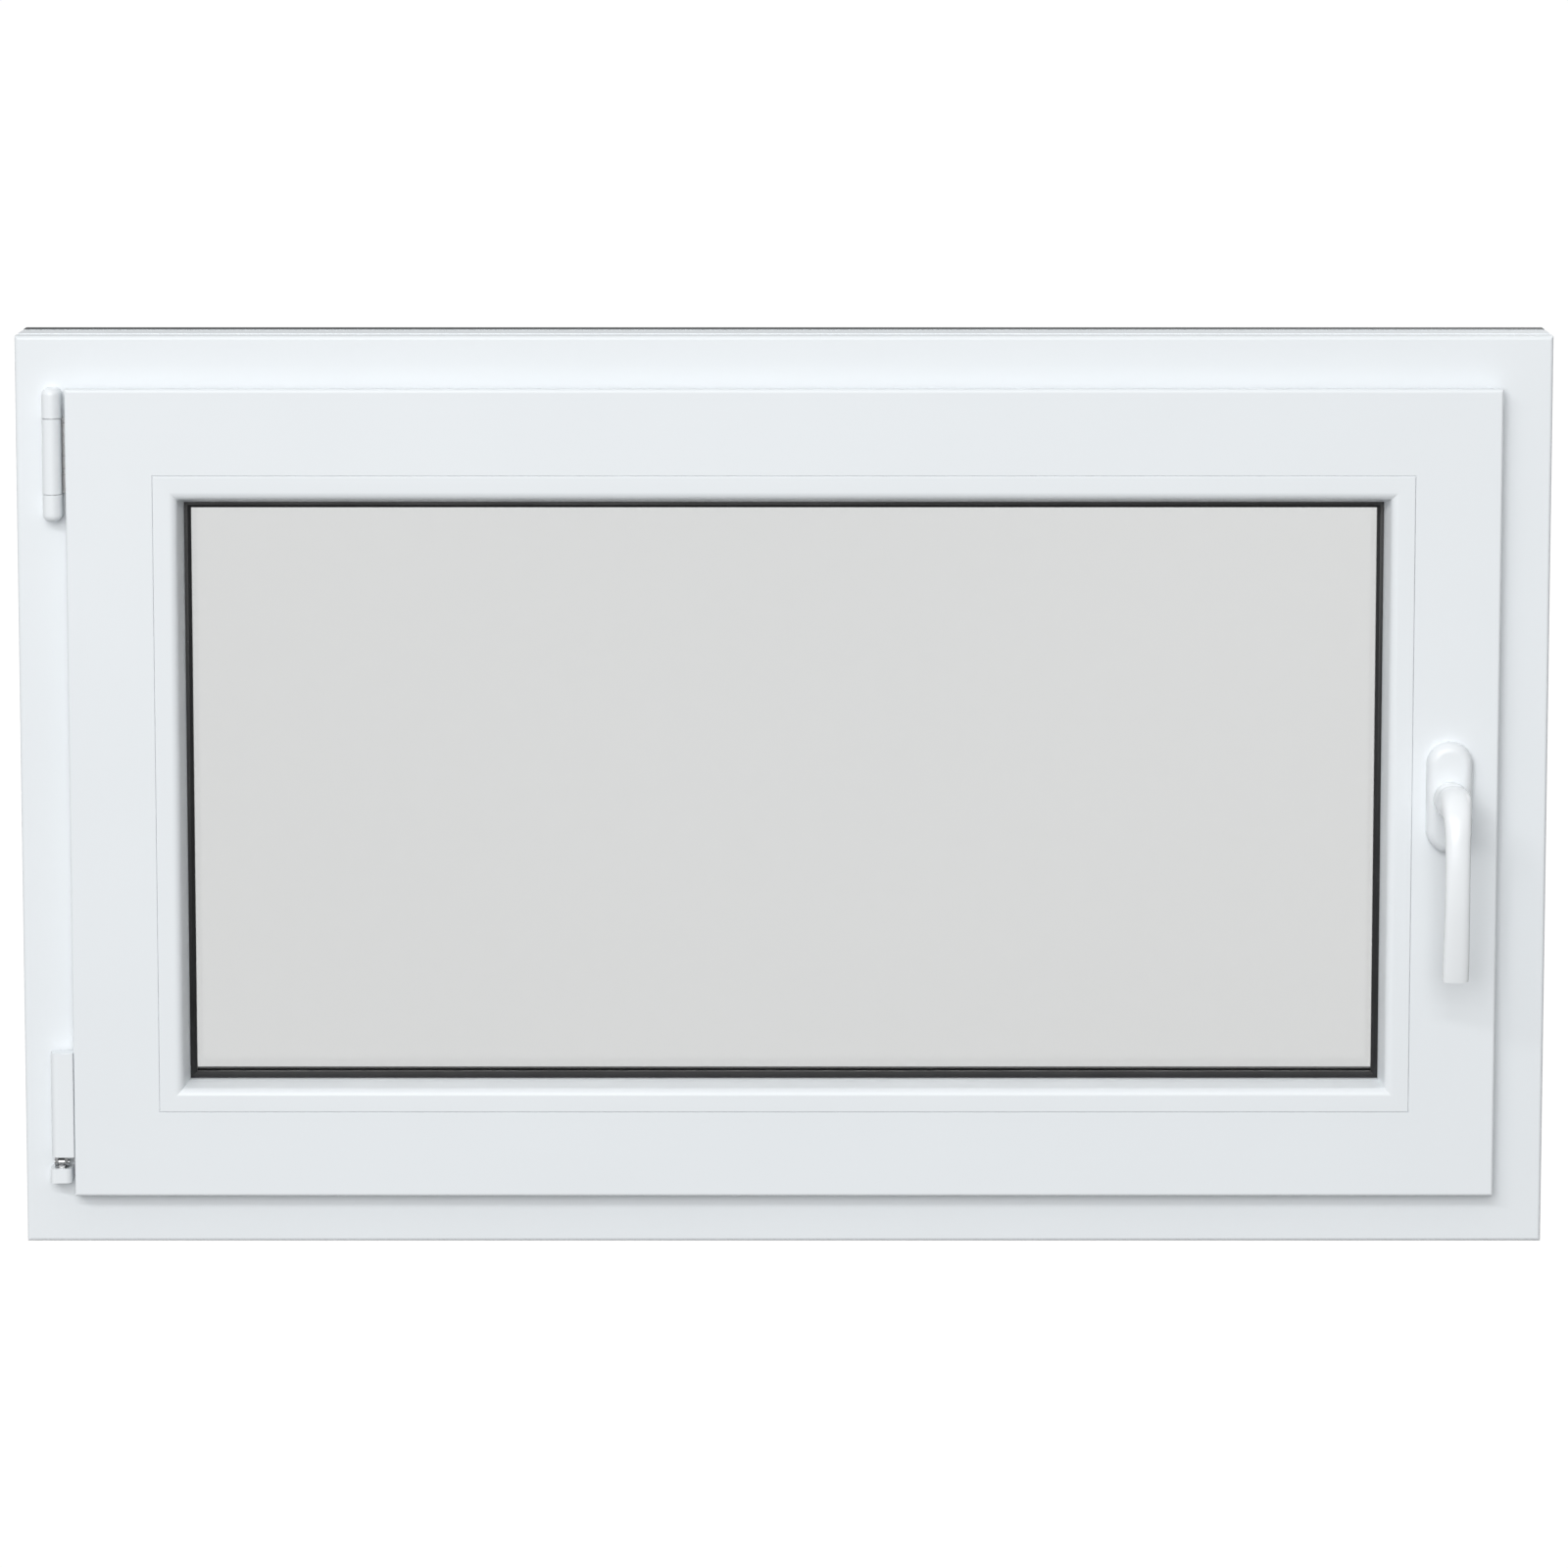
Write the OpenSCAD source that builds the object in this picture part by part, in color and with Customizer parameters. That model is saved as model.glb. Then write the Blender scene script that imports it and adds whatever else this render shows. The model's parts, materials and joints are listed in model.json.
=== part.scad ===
// Tilt-and-turn window with a welded plastic frame and sash, double glazing,
// concealed hinges on the left and a handle on the right, seen from the room.
// X runs along the sill, +Y points outdoors, +Z points up.
// The origin is the middle of the frame's bottom face.

/* [Frame] */
// Overall width of the frame
frame_w = 1000; // [900:10:1600]
// Overall height of the frame
frame_h = 600; // [560:10:1400]
// Depth of the frame from room face to outdoor face
frame_depth = 70; // [70:1:74]
// Thickness of the decorative foil on the outdoor side
foil_t = 0.3; // [0.2:0.1:0.5]

/* [Sash] */
// Distance from the frame's edge to the sash's edge
sash_inset = 33.5; // [32:0.5:34]
// How far the sash stands proud of the frame's room face
sash_proud = 15; // [14:0.5:16]
// Gap between the sash's overlap and the frame's room face
overlap_gap = 4; // [3.5:0.5:4]

/* [Glass] */
// Thickness of one pane
pane_t = 4; // [3:1:5]
// Overall thickness of the sealed unit
unit_t = 24; // [22:1:26]

/* [Handle] */
// Height of the handle's spindle above the frame's bottom face
handle_z = 300; // [290:1:320]
// How far the grip stands off the sash
grip_reach = 62; // [52:1:70]
// Length of the grip below the spindle
grip_drop = 112; // [95:1:125]

/* [Hardware] */
// Pitch radius of the gearbox pinion
pinion_r = 10; // [10:0.5:11]
// Teeth of the gearbox pinion
pinion_teeth = 20; // [18:1:22]
// Radius of the wall fixing holes
fixing_r = 3.1; // [2.6:0.1:3.6]

/* [Hidden] */
$fn = 48;
ARC_STEPS = 6;

// Depth positions, measured along Y
face_y = -frame_depth / 2;
back_y = frame_depth / 2;
sash_face_y = face_y - sash_proud;
sash_back_y = sash_face_y + 70;
overlap_y = face_y - overlap_gap;
groove_y = overlap_y + 13;
glass_out_y = sash_back_y - 21;
glass_in_y = glass_out_y - unit_t;

// Frame section: rebate base, sightline and the upstand's inner face
rebate_u = 41.5;
sight_u = 67;
upstand_y = sash_back_y + 3.5;
foil_end_y = 18;
mitre_reach = 120;

// Sash section, measured from the sash's own edge
body_u = 20;
glaze_u = 56.3;
sash_sight_u = 74;
groove_floor_u = 24;
glaze_y = glass_out_y + 3;

// Rings inside the sash, measured from the frame's edge
bead_inset = sash_inset + glaze_u;
glass_inset = bead_inset + 5;
spacer_cover = 5;
spacer_w = 7;

// Hinge axes
hinge_x = -(frame_w / 2 - sash_inset) - 9;
hinge_y = face_y - 9;
tilt_z = sash_inset + 22;
upper_z0 = 480;
upper_z1 = 567;
leaf_z0 = 498;
leaf_z1 = 547;

// Rod positions, measured from the sash's edge
rod_out_u = 18.75;
rod_in_u = 21.25;
rod_w = 10;
travel = 2 * pinion_r * 90 / 57.2958;
cam_tip_u = 12.5;

// Handle and gearbox
spindle_x = frame_w / 2 - sash_inset - 32.5;
sash_edge_x = frame_w / 2 - sash_inset;
tooth_m = 2 * pinion_r / pinion_teeth;
screw_pitch = 43;
rosette_r = 15;
rosette_h = 11;

// Stay arm
stay_z0 = 551.5;
stay_z1 = 554.5;
stay_reach = 247;
stay_offset = 18;

PVC = "#f4f7f9";
FOIL = "#3a3d40";
SEAL = "#1c1e20";
STEEL = "#c3c6c8";
ZINC = "#a9adb0";
GLASS = [0.80, 0.84, 0.84, 0.35];

// ---- Geometry helpers ----

function unit(v) = v / norm(v);
function xy(p) = [p[0], p[1]];

// Points of one corner [x, y, radius] between its neighbours before and after
function corner(before, at, after) =
    at[2] == 0 ? [xy(at)] :
    let (
        u = unit(xy(before) - xy(at)),
        v = unit(xy(after) - xy(at)),
        half = acos(u * v) / 2,
        centre = xy(at) + unit(u + v) * at[2] / sin(half),
        from = xy(at) + u * at[2] / tan(half) - centre,
        to = xy(at) + v * at[2] / tan(half) - centre,
        start = atan2(from[1], from[0]),
        turn = (atan2(to[1], to[0]) - start + 540) % 360 - 180
    )
    [for (i = [0:ARC_STEPS])
        centre + at[2] * [cos(start + turn * i / ARC_STEPS), sin(start + turn * i / ARC_STEPS)]];

// Outline through corners [x, y, radius]
function outline(c) = [
    for (i = [0:len(c) - 1])
        each corner(c[(i + len(c) - 1) % len(c)], c[i], c[(i + 1) % len(c)])
];

// Box between two opposite corners
module block(a, b) {
    translate(a) cube(b - a);
}

// Flat rectangle between two opposite corners
module panel(a, b) {
    translate(a) square(b - a);
}

// Shape drawn for the bottom side, moved to side 0 bottom, 1 right, 2 top or 3 left.
// On every side +Z then points from the frame's edge to the opening.
module on_side(side) {
    half = (side % 2 == 0 ? frame_h : frame_w) / 2;
    translate([0, 0, frame_h / 2]) rotate([0, -90 * side, 0]) translate([0, 0, -half]) children();
}

function side_length(side, inset) = (side % 2 == 0 ? frame_w : frame_h) - 2 * inset;

// Straight bar along one side from a section drawn as [distance inward, depth]
module bar(side, inset, length) {
    on_side(side) translate([0, 0, inset]) rotate([0, -90, 0])
        linear_extrude(height = length, center = true) children();
}

// The same bar with its ends mitred at 45 degrees
module mitred_bar(side, inset) {
    length = side_length(side, inset);
    intersection() {
        bar(side, inset, length) children();
        on_side(side) translate([0, 0, inset]) rotate([90, 0, 0])
            linear_extrude(height = 400, center = true)
                polygon([
                    [-length / 2, 0], [length / 2, 0],
                    [length / 2 - mitre_reach, mitre_reach], [-length / 2 + mitre_reach, mitre_reach]
                ]);
    }
}

module mitred_ring(inset) {
    for (side = [0:3]) mitred_bar(side, inset) children();
}

// Cylinder along Y or X between two positions
module rod_y(x, z, r, y0, y1) {
    translate([x, y0, z]) rotate([-90, 0, 0]) cylinder(r = r, h = y1 - y0);
}

module rod_x(y, z, r, x0, x1) {
    translate([x0, y, z]) rotate([0, 90, 0]) cylinder(r = r, h = x1 - x0);
}

// Solid through closed rings of points, one ring after another
module loft(rings) {
    n = len(rings[0]);
    last = len(rings) - 1;
    polyhedron(
        points = [for (ring = rings) each ring],
        faces = concat(
            [[for (i = [0:n - 1]) n - 1 - i]],
            [for (k = [0:last - 1]) for (i = [0:n - 1])
                [k * n + i, k * n + (i + 1) % n, (k + 1) * n + (i + 1) % n, (k + 1) * n + i]],
            [[for (i = [0:n - 1]) last * n + i]]
        )
    );
}

// ---- Frame ----

module frame_outline() {
    t = foil_t;
    polygon(outline([
        [0, face_y, 2.5], [rebate_u, face_y, 1.5], [rebate_u, upstand_y, 0.8],
        [54, upstand_y, 0], [54, upstand_y + 2, 0], [60, upstand_y + 2, 0], [60, upstand_y, 0],
        [sight_u - t, upstand_y, 1.5], [sight_u - t, back_y - t, 2.5],
        [t, back_y - t, 1], [t, foil_end_y, 0], [3, foil_end_y, 0], [3, 10, 0], [0, 10, 0],
        [0, -14, 0], [3, -14, 0], [3, -22, 0], [0, -22, 0]
    ]));
}

module frame_section() {
    difference() {
        frame_outline();
        panel([2.8, face_y + 2.8], [38.7, -24]);
        frame_steel_chamber();
        panel([6, 7.2], [38.7, 19]);
        panel([3.1, 20.2], [38.7, back_y - 3]);
        panel([40.5, upstand_y + 4.2], [sight_u - 3, back_y - 3]);
    }
}

module frame_steel_chamber() {
    panel([6, -22.8], [38.7, 6]);
}

// Walls the fixing bolts pass: two holes in each jamb
module fixing_holes(side) {
    for (z = [-150, 150])
        on_side(side) translate([z, -8, -1]) cylinder(r = fixing_r, h = rebate_u + 2);
}

module drain_slots() {
    for (x = [-300, 300]) on_side(0) block([x - 13, back_y - 4, 47], [x + 13, back_y + 1, 52]);
}

module frame_sill() {
    color(PVC) difference() {
        mitred_bar(0, 0) frame_section();
        drain_slots();
    }
}

module frame_jamb_right() {
    color(PVC) difference() {
        mitred_bar(1, 0) frame_section();
        fixing_holes(1);
    }
}

module frame_head() {
    color(PVC) mitred_bar(2, 0) frame_section();
}

module frame_jamb_left() {
    color(PVC) difference() {
        mitred_bar(3, 0) frame_section();
        fixing_holes(3);
        hinge_screw_shanks();
    }
}

module steel_tube(u0, y0, u1, y1) {
    wall = 1.5;
    difference() {
        panel([u0, y0], [u1, y1]);
        panel([u0 + wall, y0 + wall], [u1 - wall, y1 - wall]);
    }
}

module frame_reinforcement() {
    color(STEEL) for (side = [0:3]) difference() {
        bar(side, 0, side_length(side, 60)) steel_tube(6.3, -22.5, 38.4, 5.7);
        if (side % 2 == 1) fixing_holes(side);
        if (side == 3) hinge_screw_shanks();
    }
}

module frame_foil() {
    color(FOIL) difference() {
        mitred_ring(0) difference() {
            polygon(outline([
                [0, foil_end_y, 0], [20, foil_end_y, 0], [20, back_y - 4, 0], [62, back_y - 4, 0],
                [62, upstand_y + 1.5, 0], [sight_u, upstand_y + 1.5, 0],
                [sight_u, back_y, 2.5 + foil_t], [0, back_y, 1 + foil_t]
            ]));
            frame_outline();
        }
        drain_slots();
    }
}

module frame_seal() {
    color(SEAL) mitred_ring(54.2) polygon([
        [0, upstand_y + 1.9], [5.6, upstand_y + 1.9], [5.6, upstand_y - 0.4], [8.6, upstand_y - 0.6],
        [8.2, upstand_y - 2.2], [3.4, upstand_y - 3.2], [0.6, upstand_y - 1.6], [0, upstand_y]
    ]);
}

module drain_caps() {
    color(FOIL) for (x = [-300, 300]) on_side(0) {
        block([x - 20, back_y, 42], [x + 20, back_y + 3.4, 57]);
        block([x - 12.6, back_y - 3.6, 47.4], [x + 12.6, back_y, 51.6]);
    }
}

// Striker for one cam, drawn at the middle of a side
module striker() {
    difference() {
        union() {
            block([-24, groove_y - 8, rebate_u], [24, groove_y + 8, rebate_u + 2]);
            block([-24, groove_y + 7.5, rebate_u], [24, groove_y + 9.5, rebate_u + 7.5]);
            block([-24, groove_y - 8, rebate_u], [24, groove_y - 6, rebate_u + 2.5]);
        }
        for (x = [-18, 18]) translate([x, groove_y, rebate_u - 1]) cylinder(r = 2, h = 5);
    }
}

// Where the strikers sit, as [side, distance along the side]
STRIKERS = [[1, -130], [1, 130], [2, 60], [2, -240], [0, -200]];

module strikers() {
    color(ZINC) for (s = STRIKERS) on_side(s[0]) translate([s[1], 0, 0]) striker();
}

module tilt_striker() {
    color(ZINC) on_side(0) translate([330, 0, 0]) {
        striker();
        block([24, groove_y - 8, rebate_u], [34, groove_y + 9.5, rebate_u + 2.5]);
    }
}

module striker_screws() {
    color(STEEL) for (s = concat(STRIKERS, [[0, 330]])) on_side(s[0])
        for (x = [-18, 18]) translate([s[1] + x, groove_y, rebate_u]) cylinder(r = 1.95, h = 1.9);
}

// ---- Upper hinge ----

module upper_hinge_bracket() {
    color(STEEL) difference() {
        union() {
            block([hinge_x - 5, face_y - 2, upper_z0 + 3], [hinge_x - 0.6, face_y, upper_z1 - 3]);
            for (z = [[upper_z0 + 3, leaf_z0 - 0.8], [leaf_z1 + 0.8, upper_z1 - 3]]) {
                translate([hinge_x, hinge_y, z[0]]) cylinder(r = 4.2, h = z[1] - z[0]);
                block([hinge_x - 3, hinge_y, z[0]], [hinge_x + 3, face_y, z[1]]);
            }
        }
        translate([hinge_x, hinge_y, upper_z0]) cylinder(r = 2.5, h = 100);
    }
}

module upper_hinge_pin() {
    color(STEEL) translate([hinge_x, hinge_y, upper_z0 + 2.5])
        cylinder(r = 2.45, h = upper_z1 - upper_z0 - 5);
}

// Closed end cap of a hinge knuckle, rounded at its outer end
module knuckle_cap(height) {
    difference() {
        union() {
            rotate_extrude() polygon(outline([
                [0, 0, 0], [6.3, 0, 4.4], [6.3, height, 0.3], [0, height, 0]
            ]));
            translate([0, 8.9, 0]) rotate([90, 0, 0]) linear_extrude(height = 8.9)
                polygon(outline([
                    [-6.3, 0, 4.4], [6.3, 0, 4.4], [6.3, height, 0], [-6.3, height, 0]
                ]));
        }
        translate([0, 0, 2.3]) cylinder(r = 4.5, h = height);
        block([-5.2, 0, 2.3], [5.2, 9, height + 1]);
    }
}

module upper_hinge_caps() {
    color(PVC) {
        translate([hinge_x, hinge_y, upper_z0]) knuckle_cap(leaf_z0 - upper_z0 - 0.4);
        translate([hinge_x, hinge_y, upper_z1]) mirror([0, 0, 1])
            knuckle_cap(upper_z1 - leaf_z1 - 0.4);
    }
}

// ---- Lower hinge ----

module pivot_rest() {
    color(ZINC) difference() {
        union() {
            translate([hinge_x, hinge_y, tilt_z - 12]) cylinder(r = 4.8, h = 8.2);
            block([hinge_x - 4.8, hinge_y, tilt_z - 12], [hinge_x + 4.8, face_y, tilt_z - 3.8]);
        }
        translate([hinge_x, hinge_y, tilt_z - 11]) cylinder(r = 3, h = 20);
    }
}

module pivot_rest_cover() {
    color(PVC) difference() {
        translate([0, 0, tilt_z - 13.2]) linear_extrude(height = 9.6) polygon(outline([
            [hinge_x - 7.3, face_y, 0.4], [hinge_x - 7.3, hinge_y - 6.5, 4],
            [hinge_x + 7, hinge_y - 6.5, 4], [hinge_x + 7, face_y, 0.4]
        ]));
        translate([0, 0, tilt_z - 12.1]) linear_extrude(height = 20) union() {
            translate([hinge_x, hinge_y]) circle(r = 4.9);
            panel([hinge_x - 4.9, hinge_y], [hinge_x + 4.9, face_y + 1]);
        }
    }
}

// Screws that hold both hinges to the left jamb
module hinge_screw_shanks() {
    for (z = [upper_z0 + 10, upper_z1 - 10]) rod_y(hinge_x, z, 1.8, face_y - 1, face_y + 20);
    rod_y(hinge_x, tilt_z - 8, 1.8, face_y - 1, face_y + 20);
}

module hinge_screws() {
    color(STEEL) for (z = [upper_z0 + 10, upper_z1 - 10, tilt_z - 8])
        rod_y(hinge_x, z, 1.8, face_y, face_y + 18);
}

module pivot_swivel() {
    color(STEEL) difference() {
        union() {
            translate([hinge_x, hinge_y, tilt_z - 10.8]) cylinder(r = 2.95, h = 7.4);
            rod_x(hinge_y, tilt_z, 2.9, hinge_x - 2, hinge_x + 2);
            block([hinge_x - 2, hinge_y - 2.1, tilt_z - 3.6], [hinge_x + 2, hinge_y + 2.1, tilt_z]);
        }
        rod_x(hinge_y, tilt_z, 1.5, hinge_x - 3, hinge_x + 3);
    }
}

module corner_band() {
    color(STEEL) difference() {
        union() {
            for (x = [hinge_x - 4.3, hinge_x + 2.3]) {
                rod_x(hinge_y, tilt_z, 2.9, x, x + 2);
                block([x, hinge_y - 2.9, tilt_z], [x + 2, hinge_y + 2.9, tilt_z + 6.6]);
            }
            block([hinge_x - 4.3, hinge_y - 4, tilt_z + 5], [hinge_x + 4.3, hinge_y + 4, 126]);
            block([hinge_x, hinge_y, 66], [hinge_x + 4.3, face_y - 0.7, 126]);
            block([hinge_x, face_y - 3.3, 66], [-sash_edge_x + 19.5, face_y - 0.7, 126]);
            block([-sash_edge_x + 17, face_y - 3.3, 66], [-sash_edge_x + 19.8, groove_y - 8, 126]);
            block([-sash_edge_x + 17, groove_y - 8, 66], [-sash_edge_x + 20, groove_y + 6, 126]);
        }
        rod_x(hinge_y, tilt_z, 1.5, hinge_x - 6, hinge_x + 6);
        band_screw_shanks();
    }
}

module band_screw_shanks() {
    for (z = [78, 114]) rod_x(groove_y, z, 1.9, -sash_edge_x + 16, -sash_edge_x + 30);
}

module corner_band_cover() {
    z0 = tilt_z + 4;
    color(PVC) difference() {
        translate([0, 0, z0]) linear_extrude(height = 129 - z0) polygon(outline([
            [hinge_x - 6.3, face_y - 2.8, 5.5], [hinge_x - 6.3, hinge_y - 6.3, 5.5],
            [-sash_edge_x - 0.2, hinge_y - 6.3, 0.8], [-sash_edge_x - 0.2, face_y - 3.6, 0],
            [hinge_x + 4.6, face_y - 3.6, 0], [hinge_x + 4.6, face_y - 2.8, 0]
        ]));
        block([hinge_x - 4.6, hinge_y - 4.3, z0 - 1], [hinge_x + 4.6, hinge_y + 4.3, 126.3]);
        block([hinge_x - 0.3, hinge_y, 65.7], [hinge_x + 4.6, face_y, 126.3]);
    }
}

module tilt_axle() {
    color(STEEL) rod_x(hinge_y, tilt_z, 1.46, hinge_x - 4.9, hinge_x + 4.9);
}

// ---- Sash ----

module sash_outline() {
    t = foil_t;
    polygon(outline([
        [0, sash_face_y, 2], [glaze_u, sash_face_y, 0.4], [glaze_u, glaze_y, 0],
        [67, glaze_y, 0], [67, glaze_y + 2, 0], [72, glaze_y + 2, 0], [72, glaze_y, 0],
        [sash_sight_u - t, glaze_y, 1], [sash_sight_u - t, sash_back_y - t, 3],
        [body_u, sash_back_y - t, 2],
        [body_u, groove_y + 7, 0], [groove_floor_u, groove_y + 7, 0],
        [groove_floor_u, groove_y - 7, 0], [body_u, groove_y - 7, 0],
        [body_u, overlap_y, 0.8], [0, overlap_y, 0.8]
    ]));
}

module sash_section() {
    difference() {
        sash_outline();
        panel([2.8, sash_face_y + 2.8], [17.2, overlap_y - 2.8]);
        panel([20, sash_face_y + 2.8], [glaze_u - 2.8, overlap_y + 2.8]);
        sash_steel_chamber();
        panel([22.8, -4.8], [glaze_u - 2.8, 5]);
        panel([22.8, 6.2], [glaze_u - 2.8, sash_back_y - 3]);
        panel([glaze_u - 0.3, glaze_y + 4.4], [sash_sight_u - 3.2, sash_back_y - 3]);
    }
}

module sash_steel_chamber() {
    panel([27, overlap_y + 4], [glaze_u - 2.8, -6]);
}

// Pocket routed into the handle stile for the gearbox
module gearbox_pocket() {
    block([spindle_x - 13.3, groove_y - 7.3, handle_z - 75.5],
        [sash_edge_x - body_u + 1, groove_y + 7.3, handle_z + 75.5]);
}

module handle_bores() {
    rod_y(spindle_x, handle_z, 6, sash_face_y - 1, groove_y);
    for (z = [-screw_pitch / 2, screw_pitch / 2])
        rod_y(spindle_x, handle_z + z, 2.55, sash_face_y - 1, groove_y + 6);
}

module hardware_screw_bores() {
    for (z = [-80, 80]) rod_x(groove_y, handle_z + z, 1.95, sash_edge_x - 32, sash_edge_x);
}

module sash_rail_bottom() {
    color(PVC) mitred_bar(0, sash_inset) sash_section();
}

module sash_stile_right() {
    color(PVC) difference() {
        mitred_bar(1, sash_inset) sash_section();
        gearbox_pocket();
        handle_bores();
        hardware_screw_bores();
    }
}

module sash_rail_top() {
    color(PVC) mitred_bar(2, sash_inset) sash_section();
}

module sash_stile_left() {
    color(PVC) difference() {
        mitred_bar(3, sash_inset) sash_section();
        band_screw_shanks();
    }
}

module sash_reinforcement() {
    color(STEEL) for (side = [0:3]) difference() {
        bar(side, sash_inset, side_length(side, sash_inset + 60))
            steel_tube(27.3, overlap_y + 4.3, glaze_u - 3.1, -6.3);
        if (side == 1) {
            gearbox_pocket();
            handle_bores();
            hardware_screw_bores();
        }
        if (side == 3) band_screw_shanks();
    }
}

module sash_foil() {
    color(FOIL) mitred_ring(sash_inset) difference() {
        polygon(outline([
            [body_u + 2, sash_back_y, 0], [body_u + 2, sash_back_y - 3, 0],
            [72.5, sash_back_y - 3, 0], [72.5, glaze_y + 1, 0], [sash_sight_u, glaze_y + 1, 0],
            [sash_sight_u, sash_back_y, 3 + foil_t]
        ]));
        sash_outline();
    }
}

module sash_seal() {
    color(SEAL) difference() {
        mitred_ring(sash_inset + 9) polygon([
            [0, overlap_y], [6, overlap_y], [5.2, overlap_y + 1.4], [2.6, overlap_y + 2.1],
            [0.5, overlap_y + 1.2]
        ]);
        block([hinge_x, overlap_y - 1, 62], [-sash_edge_x + 18, face_y, 130]);
        block([hinge_x, overlap_y - 1, leaf_z0 - 4], [-sash_edge_x + 18, face_y, stay_z1 + 3.5]);
    }
}

// ---- Glazing ----

module bead_section() {
    polygon(outline([
        [0.1, sash_face_y - 0.3, 0.8], [15.2, sash_face_y - 0.3, 5.5],
        [18.7, glass_in_y - 8, 2], [18.7, glass_in_y - 3, 0.5], [0.1, glass_in_y - 3, 0]
    ]));
}

module bead_bottom() {
    color(PVC) mitred_bar(0, bead_inset) bead_section();
}

module bead_right() {
    color(PVC) mitred_bar(1, bead_inset) bead_section();
}

module bead_top() {
    color(PVC) mitred_bar(2, bead_inset) bead_section();
}

module bead_left() {
    color(PVC) mitred_bar(3, bead_inset) bead_section();
}

module bead_gasket() {
    color(SEAL) mitred_ring(bead_inset + 12) polygon([
        [0, glass_in_y - 3], [6.7, glass_in_y - 3], [9, glass_in_y - 3.8], [10.9, glass_in_y - 2.5],
        [11.1, glass_in_y - 0.6], [10.6, glass_in_y], [0, glass_in_y]
    ]);
}

module outer_gasket() {
    color(SEAL) mitred_ring(sash_inset + 66) polygon([
        [0, glass_out_y], [10.4, glass_out_y], [10.6, glass_out_y + 2.2], [9.6, glass_out_y + 3.6],
        [8, glaze_y], [5.8, glaze_y], [5.8, glaze_y + 1.9], [1.2, glaze_y + 1.9], [1.2, glaze_y],
        [0, glaze_y]
    ]);
}

module pane(y0) {
    block([-frame_w / 2 + glass_inset, y0, glass_inset],
        [frame_w / 2 - glass_inset, y0 + pane_t, frame_h - glass_inset]);
}

module glass_room_side() {
    color(GLASS) pane(glass_in_y);
}

module glass_outdoor_side() {
    color(GLASS) pane(glass_out_y - pane_t);
}

module glass_spacer() {
    color(ZINC) mitred_ring(glass_inset + spacer_cover)
        panel([0, glass_in_y + pane_t], [spacer_w, glass_out_y - pane_t]);
}

module glass_edge_seal() {
    color(SEAL) mitred_ring(glass_inset)
        panel([0, glass_in_y + pane_t], [spacer_cover, glass_out_y - pane_t]);
}

module setting_blocks() {
    color("#2f6db5") for (b = [[0, -330], [0, 330], [1, -150], [2, 330], [3, 150]])
        on_side(b[0]) block([b[1] - 40, glass_in_y, bead_inset], [b[1] + 40, glass_out_y, glass_inset]);
}

// ---- Sash hardware ----

module stay_rail() {
    x = hinge_x + stay_reach;
    y = hinge_y + stay_offset;
    z = frame_h - sash_inset - groove_floor_u;
    color(ZINC) difference() {
        block([x - 34, y - 6, z], [x + 32, y + 6, z + 6.3]);
        translate([x - 7.5, y - 3.1, z + 1]) cube([11.5, 6.2, 10]);
        for (dx = [-24, 22]) translate([x + dx, y, z - 1]) cylinder(r = 1.95, h = 10);
    }
}

// Angled guide of the flexible band in one corner, drawn for the lower right corner
module corner_drive() {
    edge = sash_edge_x;
    low = sash_inset;
    translate([0, groove_y + 6, 0]) rotate([90, 0, 0]) linear_extrude(height = 12) polygon([
        [edge - 110, low + 21.6], [edge - 33, low + 21.6], [edge - 31, low + body_u + 0.2],
        [edge - 26, low + body_u + 0.2], [edge - body_u - 0.2, low + 26],
        [edge - body_u - 0.2, low + 31], [edge - 21.6, low + 33], [edge - 21.6, low + 110],
        [edge - 24, low + 110], [edge - 24, low + 24], [edge - 110, low + 24]
    ]);
}

module corner_drive_bottom() {
    color(ZINC) corner_drive();
}

module corner_drive_top() {
    color(ZINC) translate([0, 0, frame_h]) mirror([0, 0, 1]) corner_drive();
}

module gearbox_housing() {
    color(ZINC) difference() {
        block([spindle_x - 13, groove_y - 7, handle_z - 75],
            [sash_edge_x - groove_floor_u + 0.1, groove_y + 7, handle_z + 75]);
        rod_y(spindle_x, handle_z, 11.4, groove_y - 4.2, groove_y + 4.2);
        rod_y(spindle_x, handle_z, 5.05, groove_y - 8, groove_y + 8);
        for (z = [-screw_pitch / 2, screw_pitch / 2])
            rod_y(spindle_x, handle_z + z, 2.5, groove_y - 8, groove_y + 8);
        block([spindle_x, groove_y - 4.2, handle_z - 12], [sash_edge_x, groove_y + 4.2, handle_z + 12]);
    }
}

module gearbox_faceplate() {
    x0 = sash_edge_x - rod_out_u + 0.35;
    color(STEEL) difference() {
        block([x0, groove_y - 8, handle_z - 88], [x0 + 2.4, groove_y + 8, handle_z + 88]);
        hardware_screw_bores();
        for (z = [-80, 80]) rod_x(groove_y, handle_z + z, 1.95, x0 - 1, x0 + 5);
    }
}

module sash_hardware_screws() {
    color(STEEL) {
        for (z = [-80, 80])
            rod_x(groove_y, handle_z + z, 1.9, sash_edge_x - 31, sash_edge_x - rod_out_u + 2.7);
        for (z = [78, 114]) rod_x(groove_y, z, 1.85, -sash_edge_x + 17.1, -sash_edge_x + 29);
        for (dx = [-24, 22])
            translate([hinge_x + stay_reach + dx, groove_y, frame_h - sash_inset - groove_floor_u + 0.1])
                cylinder(r = 1.9, h = 5.8);
    }
}

// ---- Handle ----

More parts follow.
